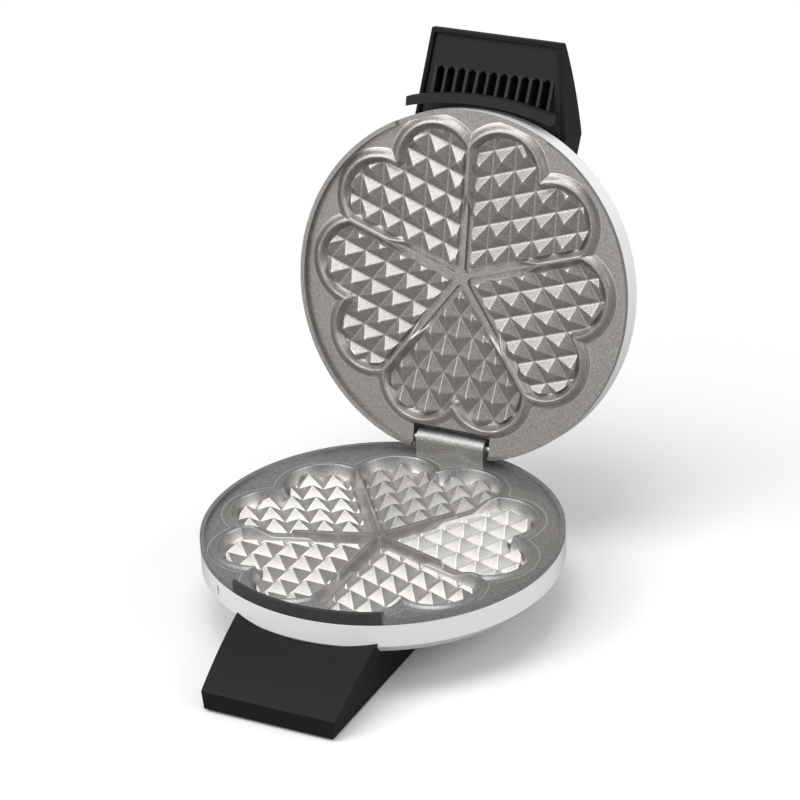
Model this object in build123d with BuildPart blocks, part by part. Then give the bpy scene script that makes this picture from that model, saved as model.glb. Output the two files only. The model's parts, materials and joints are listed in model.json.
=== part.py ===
"""Heart waffle maker with a hinged lid.

Millimetres, +Z up, z = 0 on the surface that it stands on. The hinge lies along X at the back (+Y)
and the handle and the ramp of the stand face the front (-Y). Every piece is drawn about the centre
of the round plates, lid pieces as they lie when the lid is shut. Lid pieces are then turned about the
hinge to the open rest pose, and all pieces are moved so that the open machine stands on its middle.
"""
import os
from math import cos, radians, sin, sqrt, tan

from build123d import *

# From the centre of the plates back to the middle of the open machine
frame_shift = 15.7

# Cooking plates
plate_radius = 88.0
rim_width = 2.2
rim_skirt = 3.5
parting_height = 43.0
parting_gap = 0.4
flower_shift = 0.0545
heart_count = 5
lobe_pitch_share = 0.6523
lobe_share = 0.2432
crest_width = 1.1
divider_width = 1.6
heart_tip_cut = 3.4
heart_corner_cut = 2.6
pyramid_pitch = 11.7
valley_rise = 0.15
wall_foot_groove = 0.9
pocket_lobe_facets = 22
field_lobe_facets = 12
plate_sink = 0.5

# Lower plate
base_ring_depth = 1.9
base_crest_depth = 0.5
base_valley_depth = 7.8
base_pyramid_height = 5.4
base_pocket_draft = 16.0
base_rib_run = 1.6
base_back_depth = 10.8
divider_drop = 4.3
divider_cut_width = 5.2
divider_cut_share = 0.636

# Upper plate
lid_ring_depth = 3.0
lid_crest_depth = 0.4
lid_valley_depth = 4.7
lid_pyramid_height = 3.9
lid_pocket_draft = 24.0
lid_rib_run = 3.0
lid_back_depth = 7.8

# Guard wall on the front of the lower rim, and the room for it in the upper rim
guard_height = 2.6
guard_thickness = 2.0
guard_half_angle = 27.0
guard_clearance = 0.5

# Hinge
hinge_inset = 7.4
hinge_rise = 6.2
open_angle = 102.3
knuckle_half_width = 18.4
knuckle_radius = 5.0
notch_half_width = 20.9
notch_depth = 15.0
notch_rise = 10.6
ear_width = 8.0
ear_height = 5.3
shield_wall = 2.5
rim_relief_radius = 5.9
rim_relief_half_width = 34.0
pin_radius = 2.0
pin_running_clearance = 0.05
pin_grip = 3.2

# White cases
case_wall = 1.6
case_fit = 0.3
case_corner_cut = 3.4
case_corner_drop = 14.8
dish_flare = 22.0
dish_floor_height = 20.0
vent_slot_angle = -126.0
vent_slot_width = 1.8
vent_slot_height = 6.0
vent_slot_drop = 3.0

# Heating elements, channels, reflectors, bosses and screws
element_margin = 34.0
element_width = 6.5
element_height = 6.0
element_gap_angle = 30.0
terminal_pin_width = 3.2
reflector_gap = 1.5
reflector_sheet = 0.6
reflector_distance = 7.4
boss_x = 24.0
boss_y = 30.0
boss_size = 9.0
hole_clearance = 0.2
thread_clearance = 0.05
screw_radius = 2.0
screw_head_radius = 3.8
screw_head_height = 2.6
screw_head_taper = 12.0
screw_bite = 8.0
screw_facets = 12

# Terminal blocks, thermal fuse and its clip
block_half_width = 7.0
block_depth = 9.0
fuse_radius = 2.0
fuse_length = 14.0
fuse_y = 10.0
clip_wall = 0.8
clip_width = 6.0
clip_foot = 5.0

# Stand
stand_half_width = 33.4
stand_side_draft = 6.4
stand_reach = 33.0
stand_back_inset = 2.0
stand_front_height = 10.6
stand_mid_reach = 13.0
stand_mid_height = 21.2
stand_top_inset = 12.0
stand_top_height = 31.2
stand_inner_y = -50.0
stand_wall = 2.6
stand_post_width = 15.0
seat_gap = 0.1
foot_radius = 6.0
foot_height = 4.0
foot_proud = 1.0
foot_x = 22.0
foot_front_inset = 15.0
foot_back_inset = 16.0
front_post_top = 15.5
back_post_top = 18.5
stand_screw_seat = 12.0
gland_x = 18.0
gland_height = 10.0
gland_bore_radius = 3.3
gland_barrel_radius = 4.8
gland_flange_radius = 7.0
gland_flange = 1.6

# Handle on the lid
handle_reach = 34.7
handle_tip_half_width = 34.6
handle_wide_inset = 11.0
handle_wide_half_width = 41.0
handle_end_y = -12.0
handle_end_half_width = 30.0
handle_tip_thickness = 6.5
handle_mid_reach = 10.0
handle_mid_thickness = 16.3
handle_crown_y = -58.0
handle_crown_thickness = 22.0
handle_flat_y = -24.0
handle_end_thickness = 14.0
handle_wall = 2.4
tray_recess = 2.0
tray_thickness = 2.4
tray_fit = 0.15
tray_pad_width = 10.0
slot_count = 11
slot_pitch = 5.7
slot_width = 4.2
slot_reach = 4.1
slot_length = 12.6
fin_drop = 4.0
guard_bar_gap = 7.5
guard_bar_width = 4.4
guard_bar_height = 7.0
guard_bar_level = 7.5
guard_bar_half_width = 38.6

# Browning control and signal lamps
knob_y = -35.0
knob_radius = 13.0
knob_height = 9.0
knob_seat_thickness = 18.5
knob_seat_boss = 15.6
knob_gap = 0.4
knob_top_wall = 2.0
knob_facets = 24
knob_draft = 5.0
knob_pointer_width = 1.6
shaft_radius = 3.0
shaft_running_clearance = 0.05
thermostat_half_width = 14.0
thermostat_depth = 20.0
thermostat_height = 9.0
bushing_radius = 4.5
lamp_x = 22.0
lamp_y = -56.0
lens_radius = 3.0
lens_flange_radius = 4.2
lens_flange = 1.2
lens_proud = 1.0
lamp_width = 4.0
lamp_base_height = 2.0
lamp_base_width = 8.0
part_gap = 0.3

# Places that follow from the sizes above
flower_offset = -flower_shift * plate_radius
lobe_pitch_radius = lobe_pitch_share * plate_radius
lobe_radius = lobe_share * plate_radius
divider_cut_reach = divider_cut_share * plate_radius
hinge_y = plate_radius - hinge_inset
notch_front_y = plate_radius - notch_depth
dish_floor_radius = plate_radius - dish_flare
element_ring_radius = plate_radius - element_margin
reflector_radius = dish_floor_radius - reflector_gap
stand_front_y = -plate_radius - stand_reach
stand_back_y = plate_radius - stand_back_inset
stand_mid_y = -plate_radius - stand_mid_reach
stand_top_y = -plate_radius + stand_top_inset
foot_front_y = stand_front_y + foot_front_inset
foot_back_y = stand_back_y - foot_back_inset
handle_tip_y = -plate_radius - handle_reach
handle_wide_y = -plate_radius + handle_wide_inset
handle_mid_y = -plate_radius - handle_mid_reach
guard_bar_radius = plate_radius + guard_bar_gap
slot_tip_y = -guard_bar_radius - slot_reach
slot_back_y = slot_tip_y + slot_length
sector_half_angle = 180 / heart_count
lobe_half_angle = sector_half_angle / 2
heart_angles = [90 + k * 2 * sector_half_angle for k in range(heart_count)]
base_rim_z = parting_height - parting_gap / 2
lid_rim_z = parting_height + parting_gap / 2
hinge_z = parting_height + hinge_rise
hinge_axis = Axis((0, hinge_y, hinge_z), (1, 0, 0))
mid_plane = Plane.XY.offset(parting_height)
spigot_radius = plate_radius - case_wall - case_fit
case_rim_z = base_rim_z - rim_skirt - seat_gap
base_back_z = base_rim_z - base_back_depth
lid_back_z = lid_rim_z + lid_back_depth
lid_top_z = 2 * parting_height - dish_floor_height
case_floor_z = dish_floor_height + case_wall
lid_ceiling_z = lid_top_z - case_wall
base_neck = base_back_z - reflector_distance - case_floor_z
lid_neck = lid_ceiling_z - reflector_distance - lid_back_z
handle_z = lid_top_z + seat_gap
tray_z = handle_z + tray_recess
tray_top_z = tray_z + tray_thickness
boss_places = [(x, y) for x in (-boss_x, boss_x) for y in (-boss_y, boss_y)]
front_bosses = [place for place in boss_places if place[1] < 0]
rear_bosses = [place for place in boss_places if place[1] > 0]
up = (Align.CENTER, Align.CENTER, Align.MIN)
down = (Align.CENTER, Align.CENTER, Align.MAX)

os.makedirs("parts", exist_ok=True)


def polar(radius, angle):
    """Point at a radius and an angle in degrees."""
    return (radius * cos(radians(angle)), radius * sin(radians(angle)))


def heart_outline(inset, facets):
    """One heart, tip at the flower centre and cleft towards +X, with its walls moved in by inset.

    Its lobes are cut in straight facets, and so are its tip and outer corners without an inset.
    """
    lobe_foot = lobe_pitch_radius * cos(radians(lobe_half_angle))
    tip = (divider_width / 2 + inset) / sin(radians(sector_half_angle))
    reach = polar(2 * lobe_pitch_radius, sector_half_angle)
    with BuildSketch() as heart:
        with BuildLine():
            Polyline(
                (0, 0),
                polar(lobe_foot, -sector_half_angle),
                polar(lobe_pitch_radius, -lobe_half_angle),
                polar(lobe_pitch_radius, lobe_half_angle),
                polar(lobe_foot, sector_half_angle),
                (0, 0),
            )
        make_face()
        for side in (-1, 1):
            with Locations(polar(lobe_pitch_radius, side * lobe_half_angle)):
                RegularPolygon(lobe_radius - crest_width - inset, facets)
        with BuildLine():
            Polyline((tip, 0), (tip + reach[0], -reach[1]), (tip + reach[0], reach[1]), (tip, 0))
        make_face(mode=Mode.INTERSECT)
        if not inset:
            chamfer(heart.vertices().sort_by(Axis.X)[0], heart_tip_cut)
            corners = heart.vertices().sort_by(Axis.Y)
            chamfer([corners[0], corners[-1]], heart_corner_cut)
    return heart.sketch


def heart_pocket(depth, draft):
    """The hollow of one heart from z = 0 down, with drafted walls."""
    with BuildPart() as pocket:
        add(heart_outline(0, pocket_lobe_facets))
        extrude(amount=-depth, taper=draft)
    return pocket.part


def pyramid_field(valley_depth, height, first_valley, inset):
    """The pyramids of one heart: a heart-shaped island, grooved parallel to its two dividers."""
    groove_depth = height + 1
    groove_top = groove_depth * pyramid_pitch / 2 / height
    valley_count = int(1.2 * lobe_pitch_radius / pyramid_pitch)
    with BuildPart() as field:
        with BuildSketch(Plane.XY.offset(-valley_depth - plate_sink)):
            add(heart_outline(inset, field_lobe_facets))
        extrude(amount=height + plate_sink + 0.5)
        for side in (-1, 1):
            along = Vector(*polar(-side, side * sector_half_angle), 0)
            inward = Vector(*polar(1, side * (sector_half_angle - 90)), 0)
            with BuildSketch(Plane(origin=(0, 0, valley_rise - valley_depth), x_dir=inward, z_dir=along)):
                with Locations([(first_valley + k * pyramid_pitch, 0) for k in range(valley_count)]):
                    Polygon((0, 0), (groove_top, groove_depth), (-groove_top, groove_depth), align=None)
            extrude(amount=2 * lobe_pitch_radius, both=True, mode=Mode.SUBTRACT)
    return field.part


def cooking_plate(ring_depth, rib_run, crest_depth, valley_depth, draft, pyramids, back_depth, neck_length):
    """A cast plate, face up with its rim at z = 0: sunk ring, raised rosette, five heart pockets.

    pyramids holds the height of the pyramids and the distance from a divider to the first valley.
    """
    back = -back_depth
    pocket = heart_pocket(valley_depth - crest_depth, draft)
    island_inset = (valley_depth - crest_depth) * tan(radians(draft)) + wall_foot_groove
    field = pyramid_field(valley_depth, *pyramids, island_inset)
    rib_height = ring_depth - crest_depth
    with BuildPart() as plate:
        Cylinder(plate_radius, rim_skirt, align=down)
        with Locations((0, 0, -rim_skirt)):
            Cylinder(spigot_radius, back_depth - rim_skirt, align=down)
        Cylinder(plate_radius - rim_width, ring_depth, align=down, mode=Mode.SUBTRACT)
        with Locations((0, flower_offset, -ring_depth)):
            Cylinder(lobe_pitch_radius, rib_height, align=up)
            with PolarLocations(lobe_pitch_radius, 2 * heart_count, start_angle=90 - lobe_half_angle):
                Cone(lobe_radius + rib_run, lobe_radius, rib_height, align=up)
        with Locations((0, flower_offset, -crest_depth)):
            with PolarLocations(0, heart_count, start_angle=90):
                add(pocket, mode=Mode.SUBTRACT)
        with Locations((0, flower_offset, 0)):
            with PolarLocations(0, heart_count, start_angle=90):
                add(field)
        with Locations([(x, y, back) for x, y in boss_places]):
            Box(boss_size, boss_size, reflector_distance + neck_length, align=down)
        with BuildSketch(Plane.XY.offset(back - reflector_distance - neck_length)):
            with Locations(boss_places):
                RegularPolygon(screw_radius + thread_clearance, screw_facets, major_radius=False)
        extrude(amount=screw_bite + 1, mode=Mode.SUBTRACT)
    return plate.part


def case_solid(inset):
    """The lower dish as a full solid on its flat floor, with its floor and wall moved in by inset."""
    with BuildPart() as dish:
        with BuildSketch(Plane.XZ) as section:
            with BuildLine():
                Polyline(
                    (-plate_radius, dish_floor_height),
                    (dish_floor_radius, dish_floor_height),
                    (plate_radius, case_rim_z - case_corner_drop),
                    (plate_radius, case_rim_z + inset + abs(inset)),
                    (-plate_radius, case_rim_z + inset + abs(inset)),
                    (-plate_radius, dish_floor_height),
                )
            make_face()
            chamfer(section.vertices().sort_by(Axis.X)[-2:].sort_by(Axis.Y)[0], case_corner_cut)
            if inset:
                offset(amount=-inset, kind=Kind.INTERSECTION)
            Rectangle(2 * plate_radius, 4 * plate_radius, align=(Align.MIN, Align.CENTER), mode=Mode.INTERSECT)
        revolve(axis=Axis.Z)
    return dish.part


def case_shell():
    """The lower dish with its wall thickness, open at the top."""
    with BuildPart() as shell:
        add(case_solid(0))
        add(case_solid(case_wall), mode=Mode.SUBTRACT)
    return shell.part


def stand_solid(inset):
    """The outside of the stand with its seat for the case, or, with an inset, the hollow in it."""
    low = foot_proud - 2 * inset
    slope = tan(radians(stand_side_draft))
    low_width = stand_half_width - 2 * inset * slope
    high_width = stand_half_width + (stand_top_height + stand_wall) * slope
    with BuildPart() as body:
        with BuildSketch(Plane.XZ.offset(-2 * stand_back_y)):
            Polygon(
                (-low_width, low),
                (low_width, low),
                (high_width, foot_proud + stand_top_height + stand_wall),
                (-high_width, foot_proud + stand_top_height + stand_wall),
                align=None,
            )
            if inset:
                offset(amount=-inset)
        extrude(amount=4 * stand_back_y)
        with BuildSketch(Plane.YZ.offset(-2 * stand_half_width)):
            with BuildLine():
                edges = Polyline(
                    (stand_inner_y, stand_top_height),
                    (stand_inner_y, dish_floor_height - seat_gap),
                    (stand_back_y, dish_floor_height - seat_gap),
                    (stand_back_y, low),
                    (stand_front_y, low),
                    (stand_front_y, stand_front_height),
                )
                ramp = ThreePointArc(
                    edges @ 1,
                    (stand_mid_y, stand_mid_height),
                    (stand_top_y, stand_top_height),
                )
                Line(ramp @ 1, edges @ 0)
            make_face()
            if inset:
                offset(amount=-inset)
        extrude(amount=4 * stand_half_width, mode=Mode.INTERSECT)
        add(case_solid(-seat_gap - inset), mode=Mode.SUBTRACT)
    return body.part


def handle_plan(inset):
    """Outline of the handle from above, moved in by inset."""
    with BuildSketch() as plan:
        Polygon(
            (-handle_tip_half_width, handle_tip_y),
            (handle_tip_half_width, handle_tip_y),
            (handle_wide_half_width, handle_wide_y),
            (handle_end_half_width, handle_end_y),
            (-handle_end_half_width, handle_end_y),
            (-handle_wide_half_width, handle_wide_y),
            align=None,
        )
        if inset:
            offset(amount=-inset)
    return plan.sketch


def handle_solid(inset):
    """The handle as a full solid with a crowned top, or, with an inset, the hollow in it."""
    low = handle_z - 2 * inset
    with BuildPart() as body:
        with BuildSketch(Plane.XY.offset(low)):
            add(handle_plan(inset))
        extrude(amount=2 * handle_crown_thickness)
        with BuildSketch(Plane.YZ.offset(-2 * handle_wide_half_width)):
            with BuildLine():
                edges = Polyline(
                    (handle_end_y, handle_z + handle_end_thickness),
                    (handle_end_y, low),
                    (handle_tip_y, low),
                    (handle_tip_y, handle_z + handle_tip_thickness),
                )
                crown = ThreePointArc(
                    edges @ 1,
                    (handle_mid_y, handle_z + handle_mid_thickness),
                    (handle_crown_y, handle_z + handle_crown_thickness),
                )
                flat = Line(crown @ 1, (handle_flat_y, handle_z + handle_crown_thickness))
                Line(flat @ 1, edges @ 0)
            make_face()
            if inset:
                offset(amount=-inset)
        extrude(amount=4 * handle_wide_half_width, mode=Mode.INTERSECT)
    return body.part


def heating_element():
    """An open ring of square tube standing on z = 0, with a thin pin on each end facing the gap."""
    gap_half = element_ring_radius * sin(radians(element_gap_angle / 2))
    gap_y = element_ring_radius * cos(radians(element_gap_angle / 2))
    with BuildPart() as element:
        with BuildSketch(Plane.XZ) as section:
            with Locations((element_ring_radius, element_height / 2)):
                Rectangle(element_width, element_height)
        revolve(axis=Axis.Z)
        with BuildSketch():
            with BuildLine():
                Polyline(
                    (0, 0),
                    polar(2 * element_ring_radius, 90 - element_gap_angle / 2),
                    polar(2 * element_ring_radius, 90 + element_gap_angle / 2),
                    (0, 0),
                )
            make_face()
        extrude(amount=element_height, mode=Mode.SUBTRACT)
        for side in (-1, 1):
            with Locations((side * (block_half_width + gap_half + 2) / 2, gap_y, element_height / 2)):
                Box(gap_half + 2 - block_half_width, terminal_pin_width, terminal_pin_width)
    return element.part


def screw(length):
    """A pan-head screw, shank down from z = 0 and head on top."""
    with BuildPart() as fastener:
        with BuildSketch():
            RegularPolygon(screw_radius, screw_facets)
        extrude(amount=-length)
        with BuildSketch():
            RegularPolygon(screw_head_radius, screw_facets)
        extrude(amount=screw_head_height, taper=screw_head_taper)
    return fastener.part


def reflector(skirt_height):
    """A sheet tray, its sheet at z = 0 and its skirt down, with square holes for the plate's bosses."""
    with BuildPart() as tray:
        Cylinder(reflector_radius, skirt_height, align=down)
        with Locations((0, 0, -reflector_sheet)):
            Cylinder(reflector_radius - reflector_sheet, skirt_height, align=down, mode=Mode.SUBTRACT)
        with Locations([(x, y, 0) for x, y in boss_places]):
            Box(
                boss_size + 2 * hole_clearance,
                boss_size + 2 * hole_clearance,
                2 * reflector_sheet,
                mode=Mode.SUBTRACT,
            )
    return tray.part


def placed(builder):
    """Moves a finished piece from the plate's centre to its place in the frame."""
    return builder.part.moved(Location((0, -frame_shift, 0)))


def opened(builder):
    """Turns a finished lid piece from its shut place to the open rest pose, and places it."""
    return builder.part.rotate(hinge_axis, -open_angle).moved(Location((0, -frame_shift, 0)))


# Lower plate: drafted pockets, low dividers, guard wall, and the knuckle of the hinge
lower_casting = cooking_plate(
    base_ring_depth,
    base_rib_run,
    base_crest_depth,
    base_valley_depth,
    base_pocket_draft,
    (base_pyramid_height, pyramid_pitch / 2),
    base_back_depth,
    base_neck,
)
with BuildPart() as base_plate:
    with Locations((0, 0, base_rim_z)):
        add(lower_casting)
    with BuildSketch(Plane((0, flower_offset, base_rim_z - base_crest_depth))):
        with PolarLocations(0, heart_count, start_angle=90 + sector_half_angle):
            with Locations((divider_cut_reach / 2, 0)):
                SlotOverall(divider_cut_reach + divider_cut_width, divider_cut_width)
    extrude(amount=-divider_drop, mode=Mode.SUBTRACT)
    with BuildSketch(Plane.XY.offset(base_rim_z)):
        Circle(plate_radius)
        Circle(plate_radius - guard_thickness, mode=Mode.SUBTRACT)
        with BuildLine():
            Polyline(
                (0, 0),
                polar(2 * plate_radius, -90 - guard_half_angle),
                polar(2 * plate_radius, -90 + guard_half_angle),
                (0, 0),
            )
        make_face(mode=Mode.INTERSECT)
    extrude(amount=guard_height)
    with BuildSketch(Plane.YZ.offset(-knuckle_half_width)):
        with Locations((hinge_y, hinge_z)):
            Circle(knuckle_radius)
            Rectangle(2 * knuckle_radius, hinge_z - case_rim_z, align=(Align.CENTER, Align.MAX))
    extrude(amount=2 * knuckle_half_width)
    with BuildSketch(Plane.YZ.offset(-knuckle_half_width)):
        with Locations((hinge_y, hinge_z)):
            Circle(pin_radius + pin_running_clearance)
    extrude(amount=2 * knuckle_half_width, mode=Mode.SUBTRACT)
base_plate.part = placed(base_plate)
base_plate.part.label = "base_plate"
export_step(base_plate.part, "parts/base_plate.step")

# Heating element pressed against the back of the lower plate, its terminal block and thermal fuse
element = heating_element()
with BuildPart() as base_heating_element:
    with Locations((0, flower_offset, base_back_z - element_height)):
        add(element)
base_heating_element.part = placed(base_heating_element)
base_heating_element.part.label = "base_heating_element"
export_step(base_heating_element.part, "parts/base_heating_element.step")

block_y = flower_offset + element_ring_radius * cos(radians(element_gap_angle / 2))
with BuildPart() as base_terminal_block:
    with Locations((0, block_y, base_back_z)):
        Box(2 * block_half_width, block_depth, reflector_distance, align=down)
base_terminal_block.part = placed(base_terminal_block)
base_terminal_block.part.label = "base_terminal_block"
export_step(base_terminal_block.part, "parts/base_terminal_block.step")

with BuildPart() as thermal_fuse:
    with BuildSketch(Plane.YZ.offset(-fuse_length / 2)):
        with Locations((fuse_y, base_back_z - fuse_radius)):
            Circle(fuse_radius)
    extrude(amount=fuse_length)
thermal_fuse.part = placed(thermal_fuse)
thermal_fuse.part.label = "thermal_fuse"
export_step(thermal_fuse.part, "parts/thermal_fuse.step")

clip_inner = fuse_radius + thread_clearance
with BuildPart() as fuse_clip:
    with BuildSketch(Plane.YZ.offset(-clip_width / 2)):
        with Locations((fuse_y, base_back_z)):
            Rectangle(2 * (clip_inner + clip_wall), 2 * clip_inner + clip_wall, align=(Align.CENTER, Align.MAX))
            Rectangle(2 * (clip_inner + clip_foot), clip_wall, align=(Align.CENTER, Align.MAX))
            Rectangle(2 * clip_inner, 2 * clip_inner, align=(Align.CENTER, Align.MAX), mode=Mode.SUBTRACT)
    extrude(amount=clip_width)
fuse_clip.part = placed(fuse_clip)
fuse_clip.part.label = "fuse_clip"
export_step(fuse_clip.part, "parts/fuse_clip.step")

# Reflector under the element, standing with its skirt on the floor of the lower case
base_tray = reflector(base_neck)
with BuildPart() as base_heat_reflector:
    with Locations((0, 0, base_back_z - reflector_distance)):
        add(base_tray)
base_heat_reflector.part = placed(base_heat_reflector)
base_heat_reflector.part.label = "base_heat_reflector"
export_step(base_heat_reflector.part, "parts/base_heat_reflector.step")

# Lower white case: a shell, open at the top, with the vent slot in its wall
dish_shell = case_shell()
with BuildPart() as base_case:
    add(dish_shell)
    with BuildSketch():
        with Locations(boss_places):
            RegularPolygon(screw_radius + hole_clearance, screw_facets)
    extrude(amount=parting_height, mode=Mode.SUBTRACT)
    with Locations(Location((0, 0, case_rim_z - vent_slot_drop), (0, 0, vent_slot_angle))):
        with Locations((plate_radius, 0, 0)):
            Box(4 * case_wall, vent_slot_width, vent_slot_height, align=down, mode=Mode.SUBTRACT)
base_case.part = placed(base_case)
base_case.part.label = "base_case"
export_step(base_case.part, "parts/base_case.step")

# Stand: a drafted shell with a ramp in front, seats for the screws and feet, and the cable hole
stand_outside = stand_solid(0)
stand_hollow = stand_solid(stand_wall)
front_feet = [(-foot_x, foot_front_y), (foot_x, foot_front_y)]
back_feet = [(-foot_x, foot_back_y), (foot_x, foot_back_y)]
with BuildPart() as base_stand:
    add(stand_outside)
    add(stand_hollow, mode=Mode.SUBTRACT)
    with BuildSketch(Plane.XY.offset(foot_proud)):
        with Locations(front_feet):
            Rectangle(stand_post_width, stand_post_width)
    extrude(amount=front_post_top - foot_proud)
    with BuildSketch(Plane.XY.offset(foot_proud)):
        with Locations(back_feet + boss_places):
            Rectangle(stand_post_width, stand_post_width)
    extrude(amount=back_post_top - foot_proud)
    add(stand_outside, mode=Mode.INTERSECT)
    with BuildSketch(Plane.XY):
        with Locations(front_feet + back_feet):
            RegularPolygon(foot_radius + thread_clearance, screw_facets)
    extrude(amount=foot_height, mode=Mode.SUBTRACT)
    with BuildSketch(Plane.XY):
        with Locations(boss_places):
            RegularPolygon(screw_head_radius + hole_clearance, screw_facets)
    extrude(amount=stand_screw_seat, mode=Mode.SUBTRACT)
    with BuildSketch(Plane.XY):
        with Locations(boss_places):
            RegularPolygon(screw_radius + hole_clearance, screw_facets)
    extrude(amount=parting_height, mode=Mode.SUBTRACT)
    with BuildSketch(Plane.XZ.offset(-stand_back_y - stand_wall)):
        with Locations((gland_x, gland_height)):
            Circle(gland_barrel_radius + thread_clearance)
    extrude(amount=3 * stand_wall, mode=Mode.SUBTRACT)
base_stand.part = placed(base_stand)
base_stand.part.label = "base_stand"
export_step(base_stand.part, "parts/base_stand.step")

with BuildPart() as rubber_feet:
    with BuildSketch():
        with Locations(front_feet + back_feet):
            RegularPolygon(foot_radius, screw_facets)
    extrude(amount=foot_height)
rubber_feet.part = placed(rubber_feet)
rubber_feet.part.label = "rubber_feet"
export_step(rubber_feet.part, "parts/rubber_feet.step")

# Gland that the supply cable enters by, in the back wall of the stand
with BuildPart() as cord_gland:
    with BuildSketch(Plane.XZ.offset(-stand_back_y - gland_flange)):
        with Locations((gland_x, gland_height)):
            Circle(gland_flange_radius)
    extrude(amount=gland_flange)
    with BuildSketch(Plane.XZ.offset(-stand_back_y)):
        with Locations((gland_x, gland_height)):
            Circle(gland_barrel_radius)
    extrude(amount=stand_wall + gland_flange)
    with BuildSketch(Plane.XZ.offset(-stand_back_y - gland_flange)):
        with Locations((gland_x, gland_height)):
            Circle(gland_bore_radius)
    extrude(amount=stand_wall + 2 * gland_flange, mode=Mode.SUBTRACT)
cord_gland.part = placed(cord_gland)
cord_gland.part.label = "cord_gland"
export_step(cord_gland.part, "parts/cord_gland.step")

# Screws from below, through the stand and the case into the bosses of the lower plate
stand_screw = screw(case_floor_z + screw_bite - stand_screw_seat)
with BuildPart() as base_screws:
    with Locations([Location((x, y, stand_screw_seat), (180, 0, 0)) for x, y in boss_places]):
        add(stand_screw)
base_screws.part = placed(base_screws)
base_screws.part.label = "base_screws"
export_step(base_screws.part, "parts/base_screws.step")

# Upper plate: the same casting turned face down, with the notch and ears of the hinge
upper_casting = cooking_plate(
    lid_ring_depth,
    lid_rib_run,
    lid_crest_depth,
    lid_valley_depth,
    lid_pocket_draft,
    (lid_pyramid_height, pyramid_pitch),
    lid_back_depth,
    lid_neck,
).mirror(Plane.XY)
with BuildPart() as lid_plate:
    with Locations((0, 0, lid_rim_z)):
        add(upper_casting)
    with BuildSketch(Plane.XY.offset(lid_rim_z + lid_ring_depth + 1)):
        Circle(spigot_radius)
        with Locations((0, notch_front_y)):
            Rectangle(
                2 * (notch_half_width + ear_width),
                plate_radius - notch_front_y,
                align=(Align.CENTER, Align.MIN),
                mode=Mode.INTERSECT,
            )
    extrude(amount=hinge_rise + ear_height - lid_ring_depth - 1)
    with Locations((0, notch_front_y, lid_rim_z)):
        Box(
            2 * notch_half_width,
            plate_radius - notch_front_y,
            2 * (hinge_rise + ear_height),
            align=(Align.CENTER, Align.MIN, Align.CENTER),
            mode=Mode.SUBTRACT,
        )
    with Locations((0, notch_front_y, lid_back_z)):
        Box(
            2 * (notch_half_width + ear_width),
            shield_wall,
            hinge_z + notch_rise - part_gap - lid_back_z,
            align=(Align.CENTER, Align.MAX, Align.MIN),
        )
    with BuildSketch(Plane.YZ.offset(-rim_relief_half_width)):
        with Locations((hinge_y, hinge_z)):
            Rectangle(plate_radius - notch_front_y, 2 * hinge_rise, align=(Align.MIN, Align.MAX))
            Circle(rim_relief_radius, mode=Mode.SUBTRACT)
    extrude(amount=2 * rim_relief_half_width, mode=Mode.SUBTRACT)
    with BuildSketch(Plane.YZ.offset(-notch_half_width - pin_grip)):
        with Locations((hinge_y, hinge_z)):
            Circle(pin_radius)
    extrude(amount=2 * (notch_half_width + pin_grip), mode=Mode.SUBTRACT)
    with BuildSketch(Plane.XY.offset(lid_rim_z - 1)):
        Circle(plate_radius + 1)
        Circle(plate_radius - guard_thickness - guard_clearance, mode=Mode.SUBTRACT)
        with BuildLine():
            Polyline(
                (0, 0),
                polar(2 * plate_radius, -90 - guard_half_angle - guard_clearance),
                polar(2 * plate_radius, -90 + guard_half_angle + guard_clearance),
                (0, 0),
            )
        make_face(mode=Mode.INTERSECT)
    extrude(amount=1 + guard_height - parting_gap + guard_clearance, mode=Mode.SUBTRACT)
lid_plate.part = opened(lid_plate)
lid_plate.part.label = "lid_plate"
export_step(lid_plate.part, "parts/lid_plate.step")

with BuildPart() as hinge_pin:
    with BuildSketch(Plane.YZ.offset(-notch_half_width - pin_grip)):
        with Locations((hinge_y, hinge_z)):
            Circle(pin_radius)
    extrude(amount=2 * (notch_half_width + pin_grip))
hinge_pin.part = opened(hinge_pin)
hinge_pin.part.label = "hinge_pin"
export_step(hinge_pin.part, "parts/hinge_pin.step")

# Upper element, terminal block and reflector
with BuildPart() as lid_heating_element:
    with Locations((0, flower_offset, lid_back_z)):
        add(element)
lid_heating_element.part = opened(lid_heating_element)
lid_heating_element.part.label = "lid_heating_element"
export_step(lid_heating_element.part, "parts/lid_heating_element.step")

with BuildPart() as lid_terminal_block:
    with Locations((0, block_y, lid_back_z)):
        Box(2 * block_half_width, block_depth, reflector_distance, align=up)
lid_terminal_block.part = opened(lid_terminal_block)
lid_terminal_block.part.label = "lid_terminal_block"
export_step(lid_terminal_block.part, "parts/lid_terminal_block.step")

lid_tray = reflector(lid_neck).mirror(Plane.XY)
with BuildPart() as lid_heat_reflector:
    with Locations((0, 0, lid_back_z + reflector_distance)):
        add(lid_tray)
    with Locations((0, knob_y, lid_back_z + reflector_distance)):
        Box(
            2 * (thermostat_half_width + part_gap),
            thermostat_depth + 2 * part_gap,
            4 * reflector_sheet,
            mode=Mode.SUBTRACT,
        )
lid_heat_reflector.part = opened(lid_heat_reflector)
lid_heat_reflector.part.label = "lid_heat_reflector"
export_step(lid_heat_reflector.part, "parts/lid_heat_reflector.step")

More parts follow.
